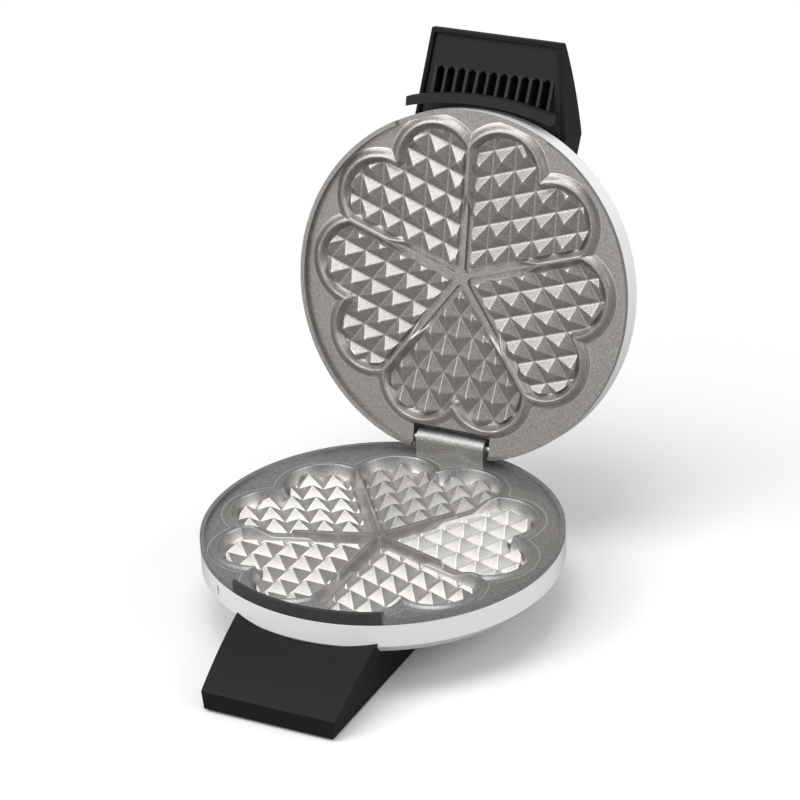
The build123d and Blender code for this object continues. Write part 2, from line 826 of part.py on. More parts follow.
# Upper white case: the same dish turned over, notched at the back for the knuckle
lid_dish = dish_shell.mirror(mid_plane)
with BuildPart() as lid_case:
    add(lid_dish)
    with BuildSketch(Plane.XY.offset(parting_height)):
        with Locations(boss_places):
            RegularPolygon(screw_radius + hole_clearance, screw_facets)
        with Locations((0, knob_y)):
            Circle(shaft_radius + part_gap)
    extrude(amount=parting_height, mode=Mode.SUBTRACT)
    with Locations((0, notch_front_y, parting_height)):
        Box(
            2 * notch_half_width,
            plate_radius,
            hinge_rise + notch_rise,
            align=(Align.CENTER, Align.MIN, Align.MIN),
            mode=Mode.SUBTRACT,
        )
lid_case.part = opened(lid_case)
lid_case.part.label = "lid_case"
export_step(lid_case.part, "parts/lid_case.step")


# Handle cover: a moulded shell with a crowned top, a seat for the knob and two lens holes
cover_outside = handle_solid(0)
cover_hollow = handle_solid(handle_wall)
knob_seat_z = handle_z + knob_seat_thickness
cover_top_z = handle_z + handle_crown_thickness
lens_places = [(-lamp_x, lamp_y), (lamp_x, lamp_y)]
with BuildPart() as handle_cover:
    add(cover_outside)
    add(cover_hollow, mode=Mode.SUBTRACT)
    with Locations((0, knob_y, cover_top_z)):
        Cylinder(knob_seat_boss, cover_top_z - knob_seat_z + handle_wall, align=down)
    add(cover_outside, mode=Mode.INTERSECT)
    with Locations((0, knob_y, knob_seat_z)):
        Cylinder(knob_radius + knob_gap, 2 * knob_height, align=up, mode=Mode.SUBTRACT)
        Cylinder(shaft_radius + shaft_running_clearance, 4 * handle_wall, mode=Mode.SUBTRACT)
    with BuildSketch(Plane.XY.offset(cover_top_z + lens_proud)):
        with Locations(lens_places):
            Circle(lens_radius + tray_fit)
    extrude(amount=-2 * handle_wall, mode=Mode.SUBTRACT)
handle_cover.part = opened(handle_cover)
handle_cover.part.label = "handle_cover"
export_step(handle_cover.part, "parts/handle_cover.step")

# Handle tray: closes the cover from below, with a row of deep slots in front of the guard bar
slot_places = [slot_pitch * (k - (slot_count - 1) / 2) for k in range(slot_count)]
fin_places = [slot_pitch * (k - slot_count / 2) for k in range(slot_count + 1)]
with BuildPart() as handle_tray:
    with BuildSketch(Plane.XY.offset(tray_z)):
        add(handle_plan(handle_wall + tray_fit))
    extrude(amount=tray_thickness)
    with BuildSketch(Plane.XY.offset(handle_z)):
        with Locations(front_bosses):
            Rectangle(tray_pad_width, tray_pad_width)
    extrude(amount=tray_recess)
    with BuildSketch(Plane.XY.offset(handle_z)):
        with Locations([(x, slot_tip_y) for x in slot_places]):
            Polygon(
                (0, 0),
                (slot_width / 2, slot_width / 2),
                (slot_width / 2, slot_back_y - slot_tip_y),
                (-slot_width / 2, slot_back_y - slot_tip_y),
                (-slot_width / 2, slot_width / 2),
                align=None,
            )
        with Locations(front_bosses):
            RegularPolygon(screw_radius + hole_clearance, screw_facets)
        with Locations((0, knob_y)):
            RegularPolygon(shaft_radius + part_gap, 2 * screw_facets)
    extrude(amount=tray_recess + tray_thickness, mode=Mode.SUBTRACT)
handle_tray.part = opened(handle_tray)
handle_tray.part.label = "handle_tray"
export_step(handle_tray.part, "parts/handle_tray.step")

# Guard bar that keeps the knuckles off the hot case, hung from the tray on a comb of fins
bar_bottom = parting_height + guard_bar_level
fin_width = slot_pitch - slot_width
with BuildPart() as handle_guard:
    with BuildSketch(Plane.XY.offset(bar_bottom)):
        Circle(guard_bar_radius + guard_bar_width / 2)
        Circle(guard_bar_radius - guard_bar_width / 2, mode=Mode.SUBTRACT)
        with Locations((0, -guard_bar_radius)):
            Rectangle(2 * guard_bar_half_width, guard_bar_radius, mode=Mode.INTERSECT)
    extrude(amount=guard_bar_height)
    for x in fin_places:
        bar_y = -sqrt(guard_bar_radius**2 - x**2)
        with BuildSketch(Plane.YZ.offset(x - fin_width / 2)):
            Polygon(
                (bar_y + guard_bar_width / 4, bar_bottom + guard_bar_height / 2),
                (bar_y + guard_bar_width / 4, tray_z),
                (slot_tip_y, tray_z),
                (bar_y - guard_bar_width / 4, tray_z - fin_drop),
                (bar_y - guard_bar_width / 4, bar_bottom + guard_bar_height / 2),
                align=None,
            )
        extrude(amount=fin_width)
handle_guard.part = opened(handle_guard)
handle_guard.part.label = "handle_guard"
export_step(handle_guard.part, "parts/handle_guard.step")

# Screws of the lid: two through the tray, and two through the case behind the handle
tray_screw = screw(tray_top_z - lid_ceiling_z + screw_bite)
with BuildPart() as handle_screws:
    with Locations([(x, y, tray_top_z) for x, y in front_bosses]):
        add(tray_screw)
handle_screws.part = opened(handle_screws)
handle_screws.part.label = "handle_screws"
export_step(handle_screws.part, "parts/handle_screws.step")

case_screw = screw(lid_top_z - lid_ceiling_z + screw_bite)
with BuildPart() as lid_screws:
    with Locations([(x, y, lid_top_z) for x, y in rear_bosses]):
        add(case_screw)
lid_screws.part = opened(lid_screws)
lid_screws.part.label = "lid_screws"
export_step(lid_screws.part, "parts/lid_screws.step")

# Thermostat on the back of the upper plate, with the bushing that guides the control shaft
with BuildPart() as thermostat:
    with Locations((0, knob_y, lid_back_z)):
        Box(2 * thermostat_half_width, thermostat_depth, thermostat_height, align=up)
        Cylinder(bushing_radius, lid_ceiling_z - part_gap - lid_back_z, align=up)
    with Locations((0, knob_y, lid_back_z + thermostat_height)):
        Cylinder(shaft_radius + shaft_running_clearance, 2 * thermostat_height, align=up, mode=Mode.SUBTRACT)
thermostat.part = opened(thermostat)
thermostat.part.label = "thermostat"
export_step(thermostat.part, "parts/thermostat.step")

# Control shaft and the browning knob pressed on it
knob_z = knob_seat_z + knob_gap
knob_hub_top = knob_z + knob_height - knob_top_wall
shaft_bottom = lid_back_z + thermostat_height + part_gap
with BuildPart() as knob_shaft:
    with Locations((0, knob_y, shaft_bottom)):
        Cylinder(shaft_radius, knob_hub_top - shaft_bottom, align=up)
knob_shaft.part = opened(knob_shaft)
knob_shaft.part.label = "knob_shaft"
export_step(knob_shaft.part, "parts/knob_shaft.step")

with BuildPart() as browning_knob:
    with BuildSketch(Plane.XY.offset(knob_z)):
        with Locations((0, knob_y)):
            RegularPolygon(knob_radius, knob_facets)
    extrude(amount=knob_height, taper=knob_draft)
    with BuildSketch(Plane.XY.offset(knob_z)):
        with Locations((0, knob_y)):
            RegularPolygon(knob_radius - knob_top_wall - 1, knob_facets)
            RegularPolygon(2 * shaft_radius, screw_facets, mode=Mode.SUBTRACT)
    extrude(amount=knob_height - knob_top_wall, mode=Mode.SUBTRACT)
    with Locations((0, knob_y, knob_z)):
        Cylinder(shaft_radius, knob_height - knob_top_wall, align=up, mode=Mode.SUBTRACT)
    with Locations((0, knob_y, knob_z + knob_height)):
        Box(
            knob_pointer_width,
            knob_radius - knob_top_wall,
            knob_top_wall,
            align=(Align.CENTER, Align.MAX, Align.CENTER),
        )
browning_knob.part = opened(browning_knob)
browning_knob.part.label = "browning_knob"
export_step(browning_knob.part, "parts/browning_knob.step")

# Signal lamps on the tray, and the two lenses held from inside in the cover
lens_flange_top = cover_top_z - handle_wall - part_gap
with BuildPart() as lens:
    with BuildSketch(Plane.XY.offset(lens_flange_top)):
        RegularPolygon(lens_flange_radius, screw_facets)
    extrude(amount=-lens_flange)
    with BuildSketch(Plane.XY.offset(lens_flange_top)):
        RegularPolygon(lens_radius, 2 * screw_facets)
    extrude(amount=cover_top_z + lens_proud - lens_flange_top)
with BuildPart() as power_lens:
    with Locations((-lamp_x, lamp_y)):
        add(lens.part)
power_lens.part = opened(power_lens)
power_lens.part.label = "power_lens"
export_step(power_lens.part, "parts/power_lens.step")

with BuildPart() as ready_lens:
    with Locations((lamp_x, lamp_y)):
        add(lens.part)
ready_lens.part = opened(ready_lens)
ready_lens.part.label = "ready_lens"
export_step(ready_lens.part, "parts/ready_lens.step")

with BuildPart() as signal_lamps:
    with Locations([(x, y, tray_top_z) for x, y in lens_places]):
        Box(lamp_base_width, lamp_base_width, lamp_base_height, align=up)
        Box(lamp_width, lamp_width, lens_flange_top - lens_flange - seat_gap - tray_top_z, align=up)
signal_lamps.part = opened(signal_lamps)
signal_lamps.part.label = "signal_lamps"
export_step(signal_lamps.part, "parts/signal_lamps.step")
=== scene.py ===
# %% [markdown]
# # A heart waffle maker
# A round waffle maker with a hinged lid, open as for pouring batter. The solids come from the packed
# frame, in metres, with z = 0 on the worktop, the hinge along X and the handle towards -Y. This script
# adds a camera, lights, a floor, the two cast rosettes, softly rounded copies of the cast and moulded
# pieces, and all the finishes.

# %% Load the fixed frame
import json

import bmesh
import bpy
import numpy as np
from mathutils import Matrix, Vector

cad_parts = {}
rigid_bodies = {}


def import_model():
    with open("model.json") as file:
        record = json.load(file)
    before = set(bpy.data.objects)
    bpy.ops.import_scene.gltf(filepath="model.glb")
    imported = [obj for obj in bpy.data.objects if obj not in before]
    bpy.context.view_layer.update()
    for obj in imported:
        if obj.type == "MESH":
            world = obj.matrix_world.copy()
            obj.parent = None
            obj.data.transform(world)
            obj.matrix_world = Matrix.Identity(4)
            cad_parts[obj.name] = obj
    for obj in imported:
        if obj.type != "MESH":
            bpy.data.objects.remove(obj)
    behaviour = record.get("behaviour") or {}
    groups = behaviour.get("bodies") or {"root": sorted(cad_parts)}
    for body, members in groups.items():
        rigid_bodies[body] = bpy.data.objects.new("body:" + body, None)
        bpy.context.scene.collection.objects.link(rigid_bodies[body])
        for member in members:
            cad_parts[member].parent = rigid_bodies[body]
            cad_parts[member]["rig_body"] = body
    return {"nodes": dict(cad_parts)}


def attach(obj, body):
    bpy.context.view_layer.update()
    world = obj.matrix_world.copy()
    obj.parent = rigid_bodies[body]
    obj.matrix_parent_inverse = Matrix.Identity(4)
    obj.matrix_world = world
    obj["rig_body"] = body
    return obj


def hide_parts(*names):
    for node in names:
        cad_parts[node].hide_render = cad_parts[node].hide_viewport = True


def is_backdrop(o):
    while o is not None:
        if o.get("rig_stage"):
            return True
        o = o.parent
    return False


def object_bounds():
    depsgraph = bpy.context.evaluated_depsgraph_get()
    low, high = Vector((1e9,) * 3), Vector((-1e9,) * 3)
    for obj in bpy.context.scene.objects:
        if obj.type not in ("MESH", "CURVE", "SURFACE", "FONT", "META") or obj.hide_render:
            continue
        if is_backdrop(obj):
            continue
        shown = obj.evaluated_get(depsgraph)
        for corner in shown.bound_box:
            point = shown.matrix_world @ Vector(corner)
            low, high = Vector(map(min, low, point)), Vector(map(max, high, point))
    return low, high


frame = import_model()
cad_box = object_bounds()
scene = bpy.context.scene

# %% [markdown]
# ## Camera
# The camera stands a good metre away and looks down at about 27 degrees, so a long lens keeps the
# rims of the two plates nearly true ellipses. Its place was found by fitting the two rims, the hinge
# and the stand to the photograph. The three axes of a camera are the columns of its rotation matrix,
# so it can be placed without any constraint.

# %% Place the camera
CAMERA_PLACE = (0.59481, -1.16229, 0.75407)
CAMERA_AZIMUTH = 26.947
CAMERA_ELEVATION = 26.506
CAMERA_ROLL = -2.122
CAMERA_LENS = 137.83


def camera_axes(azimuth, elevation, roll):
    """Right, up and back of a camera, in degrees.

    Back points from the object to the camera, and right and up turn about it by roll.
    """
    a, e, r = np.radians((azimuth, elevation, roll))
    back = np.array([np.sin(a) * np.cos(e), -np.cos(a) * np.cos(e), np.sin(e)])
    level = np.array([np.cos(a), np.sin(a), 0.0])
    rise = np.cross(back, level)
    right = np.cos(r) * level + np.sin(r) * rise
    up = np.cos(r) * rise - np.sin(r) * level
    return right, up, back


def add_object(name, data):
    """A new object for a mesh, light or camera, linked to the scene."""
    made = bpy.data.objects.new(name, data)
    scene.collection.objects.link(made)
    return made


def place(obj, position, axes):
    """Stands an object at a position with the three axes as the columns of its rotation."""
    turn = Matrix([[axes[c][r] for c in range(3)] for r in range(3)]).to_4x4()
    obj.matrix_world = Matrix.Translation(Vector(position)) @ turn


camera_data = bpy.data.cameras.new("camera")
camera_data.lens = CAMERA_LENS
camera_data.sensor_width = 36.0
camera_data.clip_end = 50.0
camera = add_object("camera", camera_data)
place(camera, CAMERA_PLACE, camera_axes(CAMERA_AZIMUTH, CAMERA_ELEVATION, CAMERA_ROLL))
scene.camera = camera
scene.view_settings.view_transform = "Standard"
print("camera", [round(v, 3) for v in camera.location], "lens", camera_data.lens)

# %% [markdown]
# ## Shader maths as expressions
# A node tree is easier to read as a formula. The class Value wraps one output socket and overloads
# plus, minus and times, so that `1 - mask * 0.3` adds the Math nodes by itself. The class Nodes adds
# nodes to any tree, and Paint is the tree of one material. Colours are mixed with a Mix node, because
# a Math node would turn them grey.

# %% A socket that can be calculated with
class Value:
    """One output socket of a node tree, with arithmetic; the others are Values or numbers."""

    def __init__(self, nodes, socket):
        self.nodes = nodes
        self.socket = socket

    def math(self, operation, *others):
        """The result of a Math node for this value and the others, in this order."""
        inputs = dict(enumerate((self, *others)))
        return self.nodes.node("ShaderNodeMath", {"operation": operation}, inputs)

    def __add__(self, other):
        return self.math("ADD", other)

    __radd__ = __add__

    def __mul__(self, other):
        return self.math("MULTIPLY", other)

    def __sub__(self, other):
        return self.math("SUBTRACT", other)

    def __rsub__(self, other):
        return self.nodes.node("ShaderNodeMath", {"operation": "SUBTRACT"}, {0: other, 1: self})

    def between(self, low, high):
        """0 at low, 1 at high, and eased in between."""
        settings = {"interpolation_type": "SMOOTHSTEP"}
        inputs = {"Value": self, "From Min": low, "From Max": high}
        return self.nodes.node("ShaderNodeMapRange", settings, inputs)


print("values ready")

# %% Trees of nodes
class Nodes:
    """A node tree; node() adds any node to it."""

    def __init__(self, tree):
        self.tree = tree

    def feed(self, socket, value):
        """Links a Value to an input socket, or writes a plain value into it."""
        if isinstance(value, Value):
            self.tree.links.new(value.socket, socket)
        else:
            socket.default_value = value

    def node(self, kind, settings=None, inputs=None, output=0):
        """Adds a node: its settings first, then the values or links of its sockets; returns an output."""
        made = self.tree.nodes.new(kind)
        for name, value in (settings or {}).items():
            setattr(made, name, value)
        for name, value in (inputs or {}).items():
            self.feed(made.inputs[name], value)
        return Value(self, made.outputs[output])


# Pointiness is 0.5 on flat faces; from the first to the second number an edge fades in.
EDGE_FAINT, EDGE_FULL = 0.512, 0.554


class Paint(Nodes):
    """A material and its Principled shader; further inputs are named with _ for a space."""

    def __init__(self, name, colour, roughness, metallic=0.0, **fixed):
        self.material = bpy.data.materials.new(name)
        self.material.use_nodes = True
        self.material.diffuse_color = (*colour, 1.0)
        super().__init__(self.material.node_tree)
        self.shader = self.tree.nodes["Principled BSDF"]
        self.set(Base_Color=(*colour, 1.0), Roughness=roughness, Metallic=metallic, **fixed)

    def set(self, **inputs):
        """Feeds inputs of the shader, named with _ for a space."""
        for name, value in inputs.items():
            self.feed(self.shader.inputs[name.replace("_", " ")], value)

    def where(self):
        """The place on the object, in metres."""
        return self.node("ShaderNodeTexCoord", output="Object")

    def noise(self, scale, detail=2.0, roughness=0.5):
        """A cloudy value from 0 to 1 with about scale lumps in each metre."""
        inputs = {"Vector": self.where(), "Scale": scale, "Detail": detail, "Roughness": roughness}
        return self.node("ShaderNodeTexNoise", {}, inputs, "Fac")

    def cells(self, scale):
        """The distance to the nearest of scattered points, with about scale of them in each metre."""
        return self.node("ShaderNodeTexVoronoi", {}, {"Vector": self.where(), "Scale": scale}, "Distance")

    def mix(self, factor, *colours):
        """The first colour where factor is 0 and the second where it is 1; a colour may be a Value."""
        first, second = (c if isinstance(c, Value) else (*c, 1.0) for c in colours)
        return self.node("ShaderNodeMix", {"data_type": "RGBA"}, {0: factor, 6: first, 7: second}, 2)

    def edges(self):
        """Near 1 on edges, 0 on flat faces, for a painted highlight: how much more the surface bulges than it
        dips.
        """
        return self.node("ShaderNodeNewGeometry", output="Pointiness").between(EDGE_FAINT, EDGE_FULL)

    def bump(self, height, distance, strength):
        """Roughens the normal by a height from 0 to 1 that stands for distance metres."""
        inputs = {"Height": height, "Distance": distance, "Strength": strength}
        self.set(Normal=self.node("ShaderNodeBump", {}, inputs))
        return self


print("trees and paints ready")

# %% [markdown]
# ## Floor and light
# The photograph has a white background and a soft grey shadow. A big pale floor takes the shadow,
# and away from the object it turns pure white for camera rays and for rays that pass a clear piece.
# All other rays meet a much darker floor and a grey world, so that the white page neither lights the
# object nor shines back from its glossy sides. The light itself comes from four large soft panels:
# the key over the left shoulder of the camera, a low weak one in front, one above, and one on the right.

# %% Floor
FLOOR_HALF = 6.0
FLOOR_SEEN = (0.93, 0.93, 0.93)
FLOOR_REFLECTED = (0.34, 0.34, 0.34)
SHADOW_NEAR = 0.12
SHADOW_FAR = 0.36
WHITE = (1.0, 1.0, 1.0, 1.0)

floor_mesh = bpy.data.meshes.new("floor")
corners = np.array([(-1, -1, 0), (1, -1, 0), (1, 1, 0), (-1, 1, 0)], float) * FLOOR_HALF
floor_mesh.from_pydata(corners.tolist(), [], [(0, 1, 2, 3)])
floor = add_object("floor", floor_mesh)
floor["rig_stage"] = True


def seen_directly(nodes):
    """1 for camera and transmission rays, which see the page; 0 for rays that carry light."""
    camera_ray = nodes.node("ShaderNodeLightPath", output="Is Camera Ray")
    clear_ray = nodes.node("ShaderNodeLightPath", output="Is Transmission Ray")
    return camera_ray.math("MAXIMUM", clear_ray)


floor_paint = Paint("floor_paper", FLOOR_SEEN, 0.9)
direct = seen_directly(floor_paint)
floor_paint.set(Base_Color=floor_paint.mix(direct, FLOOR_REFLECTED, FLOOR_SEEN))
place_on_floor = floor_paint.where()
away = floor_paint.node("ShaderNodeVectorMath", {"operation": "LENGTH"}, {0: place_on_floor}, "Value")
whitened = direct * away.between(SHADOW_NEAR, SHADOW_FAR)
paper = Value(floor_paint, floor_paint.shader.outputs[0])
page = floor_paint.node("ShaderNodeEmission", {}, {"Color": WHITE, "Strength": 1.0})
floor_look = floor_paint.node("ShaderNodeMixShader", {}, {0: whitened, 1: paper, 2: page})
floor_paint.feed(floor_paint.tree.nodes["Material Output"].inputs["Surface"], floor_look)
floor_mesh.materials.append(floor_paint.material)
print("floor", 2 * FLOOR_HALF, "m wide")

# %% World
WORLD_LIGHT = 0.45

world = bpy.data.worlds.new("studio")
world.use_nodes = True
scene.world = world
sky = world.node_tree.nodes["Background"]
sky.inputs["Color"].default_value = WHITE
world_nodes = Nodes(world.node_tree)
world_nodes.feed(sky.inputs["Strength"], seen_directly(world_nodes) * (1.0 - WORLD_LIGHT) + WORLD_LIGHT)
print("world light", WORLD_LIGHT)

# %% Soft panels


def panel(name, position, target, size, power):
    """A square area light of a size in metres that faces its target."""
    data = bpy.data.lights.new(name, "AREA")
    data.size = size
    data.energy = power
    back = np.array(position, float) - np.array(target, float)
    back /= np.linalg.norm(back)
    right = np.cross((0.0, 0.0, 1.0), back)
    right /= np.linalg.norm(right)
    place(add_object(name, data), position, (right, np.cross(back, right), back))
    print("panel", name, power, "W")


panel("key_panel", (-1.1, -1.1, 1.5), (0.0, 0.0, 0.08), 1.3, 20.0)
panel("front_panel", (-0.5, -1.7, 0.45), (0.0, 0.0, 0.12), 1.7, 6.0)
panel("top_panel", (0.0, -0.3, 1.5), (0.0, 0.0, 0.08), 0.8, 7.5)
panel("side_panel", (1.6, 0.1, 0.9), (0.0, 0.0, 0.1), 1.2, 13.0)

# %% [markdown]
# ## Shape of the rosette
# Each plate is cast with five heart pockets round one centre, and the hearts are drawn by lines and
# arcs: tip, straight wall, corner, lobe, cleft. The whole rosette repeats one wedge of 36 degrees,
# a half heart, ten times. So it is enough to make that wedge, with rows of points that follow the
# outline from the top of the ridge down the drafted wall, and then to mirror and turn it.

# %% Numbers of the plates, in millimetres
MM = 0.001
PLATE_Y = -15.7
FLOWER_Y = -4.8
HINGE_Y = 80.6
HINGE_Z = 49.2
OPEN_ANGLE = 102.3
HEARTS = 5
SECTOR = np.pi / HEARTS
LOBE = 57.4 * np.array([np.cos(SECTOR / 2), np.sin(SECTOR / 2)])
ROSETTE = 21.4
POCKET = 20.3
HALF_DIVIDER = 0.8
TIP_ROUND = 3.2
CORNER_ROUND = 4.0
SMALLEST_ROUND = 0.6
CLEFT_ROUND = 0.9
PITCH = 11.7
FORWARD = np.array([np.cos(SECTOR), np.sin(SECTOR)])
INWARD = np.array([np.sin(SECTOR), -np.cos(SECTOR)])

# rim is a height in the frame with the lid shut; ring, crest, valley, slot and bottom are measured
# from the rim. run and draft give the ridge's outer and inner slopes, foot rounds the wall's foot, and
# field, pyramid, first and groove are the inset, height, first groove and groove width of the pyramids.
PLATES = {
    "base": {
        "rim": 42.8, "ring": -1.9, "crest": -0.5, "valley": -7.8, "slot": -4.8, "bottom": -9.4,
        "run": 1.6, "draft": 20.0, "foot": 3.6, "edge_y": 90.0,
        "field": 2.99, "pyramid": 5.4, "first": 5.85, "groove": 0.3,
    },
    "lid": {
        "rim": 43.2, "ring": -3.0, "crest": -0.4, "valley": -4.7, "slot": None, "bottom": -6.6,
        "run": 3.0, "draft": 30.0, "foot": 2.2, "edge_y": 72.95,
        "field": 2.81, "pyramid": 3.9, "first": 11.7, "groove": 1.1,
    },
}
print("wedge", round(np.degrees(SECTOR), 1), "degrees, lobes at", LOBE.round(2))

# %% From a plate to the frame and back


def to_frame(points, side):
    """Moves points of a plate, face up with its rim at 0, into the frame; the lid's are turned over."""
    x, y, z = points.T
    rim = PLATES[side]["rim"]
    if side == "base":
        return np.stack([x, y + PLATE_Y, rim + z], 1) * MM
    turn = np.radians(-OPEN_ANGLE)
    dy, dz = y - HINGE_Y, rim - z - HINGE_Z
    turned_y = HINGE_Y + dy * np.cos(turn) - dz * np.sin(turn)
    turned_z = HINGE_Z + dy * np.sin(turn) + dz * np.cos(turn)
    return np.stack([x, turned_y + PLATE_Y, turned_z], 1) * MM


def from_frame(points, side):
    """The way back of to_frame."""
    x, y, z = (points / MM).T
    rim = PLATES[side]["rim"]
    y = y - PLATE_Y
    if side == "base":
        return np.stack([x, y, z - rim], 1)
    turn = np.radians(OPEN_ANGLE)
    dy, dz = y - HINGE_Y, z - HINGE_Z
    shut_y = HINGE_Y + dy * np.cos(turn) - dz * np.sin(turn)
    shut_z = HINGE_Z + dy * np.sin(turn) + dz * np.cos(turn)
    return np.stack([x, shut_y, rim - shut_z], 1)


there_and_back = from_frame(to_frame(np.eye(3), "lid"), "lid")
print("way back misses by", round(np.abs(there_and_back - np.eye(3)).max(), 9), "mm")

# %% The half heart
TIP_POINTS, WALL_POINTS, CORNER_POINTS, LOBE_POINTS, CLEFT_POINTS = 8, 44, 12, 56, 8


def on_circle(centre, radius, angle):
    """Points of a circle at some angles."""
    return centre + radius * np.stack([np.cos(angle), np.sin(angle)], 1)


def arc(centre, radius, start, end, count):
    """Points on a circle between two angles, without the last one."""
    return on_circle(centre, radius, start + (end - start) * np.arange(count) / count)


def half_outline(inset):
    """A half heart from its tip to its cleft, moved in by inset; each arc keeps its centre as it is moved."""
    tip_radius = max(TIP_ROUND - inset, SMALLEST_ROUND)
    corner_radius = max(CORNER_ROUND - inset, SMALLEST_ROUND)
    wall = HALF_DIVIDER + inset
    tip = np.array([(wall + tip_radius) / np.sin(SECTOR), 0.0])
    across = wall + corner_radius
    reach = POCKET - inset - corner_radius
    corner = (LOBE[0] + np.sqrt(reach**2 - (LOBE[1] - across) ** 2)) * FORWARD + across * INWARD
    cleft = np.array([LOBE[0] + np.sqrt((POCKET + CLEFT_ROUND) ** 2 - LOBE[1] ** 2), 0.0])
    outward = np.pi / 2 + SECTOR
    corner_angle = np.arctan2(*(corner - LOBE)[::-1])
    cleft_angle = np.arctan2(*(cleft - LOBE)[::-1])
    wall_start = tip - tip_radius * INWARD
    wall_end = corner - corner_radius * INWARD
    share = (np.arange(WALL_POINTS) / WALL_POINTS)[:, None]
    return np.concatenate([
        arc(tip, tip_radius, np.pi, outward, TIP_POINTS),
        wall_start + share * (wall_end - wall_start),
        arc(corner, corner_radius, outward, corner_angle, CORNER_POINTS),
        arc(LOBE, POCKET - inset, corner_angle, cleft_angle, LOBE_POINTS),
        arc(cleft, CLEFT_ROUND + inset, cleft_angle + np.pi, np.pi, CLEFT_POINTS),
        [cleft - (CLEFT_ROUND + inset, 0.0)],
    ])


print("half heart has", len(half_outline(0.0)), "points")

# %% The far side of the ridge


def notch_angle(radius):
    """Angle at a lobe's centre between the heart's direction and where a circle meets its middle line."""
    return np.arctan2(LOBE[1], np.sqrt(radius**2 - LOBE[1] ** 2))


def lobe_row(radius, share):
    """Points of a circle about the lobe, by their share of the way from notch to cleft."""
    start, end = SECTOR + notch_angle(radius), -notch_angle(radius)
    return on_circle(LOBE, radius, start + share * (end - start))


def cell_edge(outline):
    """The ridge's far side for each outline point, and the lobe points' share of the way round the lobe.

    It is the middle of a divider along the wall, and the rosette's own circle round the lobe.
    """
    first_lobe = TIP_POINTS + WALL_POINTS + CORNER_POINTS // 2
    along = outline @ FORWARD
    notch = LOBE[0] + np.sqrt(ROSETTE**2 - LOBE[1] ** 2)
    along[:TIP_POINTS] = along[TIP_POINTS] * np.arange(TIP_POINTS) / TIP_POINTS
    bend = slice(TIP_POINTS + WALL_POINTS, first_lobe)
    along[bend] = np.linspace(along[TIP_POINTS + WALL_POINTS], notch, CORNER_POINTS // 2 + 1)[:-1]
    edge = along[:, None] * FORWARD
    start, end = SECTOR + notch_angle(ROSETTE), -notch_angle(ROSETTE)
    seen = np.arctan2(outline[first_lobe:, 1] - LOBE[1], outline[first_lobe:, 0] - LOBE[0])
    share = np.clip((start - seen) / (start - end), 0.0, 1.0)
    even = np.linspace(0.0, 1.0, len(seen))
    share = 0.5 * np.maximum.accumulate(share) + 0.5 * even
    share[0], share[-1] = 0.0, 1.0
    edge[first_lobe:] = lobe_row(ROSETTE, share)
    return edge, share


print("lobe has", len(cell_edge(half_outline(0.0))[1]), "points")

# %% Height of the casting
TOP_SOFT, SLOT_SOFT, RING_SOFT = 0.9, 0.7, 1.1
SLOT_END, SLOT_HALF = 51.5, 2.6
SLOT_END_SLOPE, SLOT_SIDE_SLOPE = 0.45, 5.0
RING_LIFT = 0.03
HAIR = 0.01


def soft_min(a, b, width):
    """The smaller of two heights, with the corner between them rounded over a width of height."""
    near = np.clip(width - np.abs(a - b), 0.0, None) / width
    return np.minimum(a, b) - near**2 * width / 4


def soft_max(a, b, width):
    """The larger of two heights, rounded in the same way."""
    return -soft_min(-np.asarray(a), -np.asarray(b), width)


def plate_height(plate, inside, point):
    """The ridge's top, its two slopes, the ring outside and the pocket floor, softly joined.

    inside is the distance from the pocket's edge, and in the lower plate a slot cuts the dividers low.
    """
    lobe_radius = np.linalg.norm(point - LOBE, axis=1)
    inner = plate["crest"] - inside / np.tan(np.radians(plate["draft"]))
    outer = plate["crest"] - (lobe_radius - ROSETTE) * (plate["crest"] - plate["ring"]) / plate["run"]
    ridge = soft_min(soft_min(plate["crest"], inner, TOP_SOFT), outer, TOP_SOFT)
    if plate["slot"] is not None:
        past_end = np.clip(point @ FORWARD - SLOT_END, 0.0, None)
        past_side = np.clip(point @ INWARD - SLOT_HALF, 0.0, None)
        slot = plate["slot"] + SLOT_END_SLOPE * past_end + SLOT_SIDE_SLOPE * past_side
        ridge = soft_min(ridge, slot, SLOT_SOFT)
    outside = (inside < 0.0) & (lobe_radius > ROSETTE - HAIR)
    ridge = np.where(outside, soft_max(ridge, plate["ring"] + RING_LIFT, RING_SOFT), ridge)
    return soft_max(ridge, plate["valley"], plate["foot"])


print("0 and 0.1 mm meet at", soft_max(0.0, 0.1, TOP_SOFT).round(3), "mm")

# %% [markdown]
# ## Skin of each plate
# The wedge's rows start in the middle of the ridge, go over its rounded edge, down the wall and to the
# flat floor. Outside, rows of lobe circles run down to the ring. Ten wedges are joined by their seams,
# the pocket floors are closed by one flat face each, and the rim of the skin is carried down into the
# metal and closed there, so that the skin is a solid.

# %% Close and place a solid


def points_of(mesh):
    """The vertices of a mesh, one in each row."""
    coords = np.empty(len(mesh.vertices) * 3)
    mesh.vertices.foreach_get("co", coords)
    return coords.reshape(-1, 3)


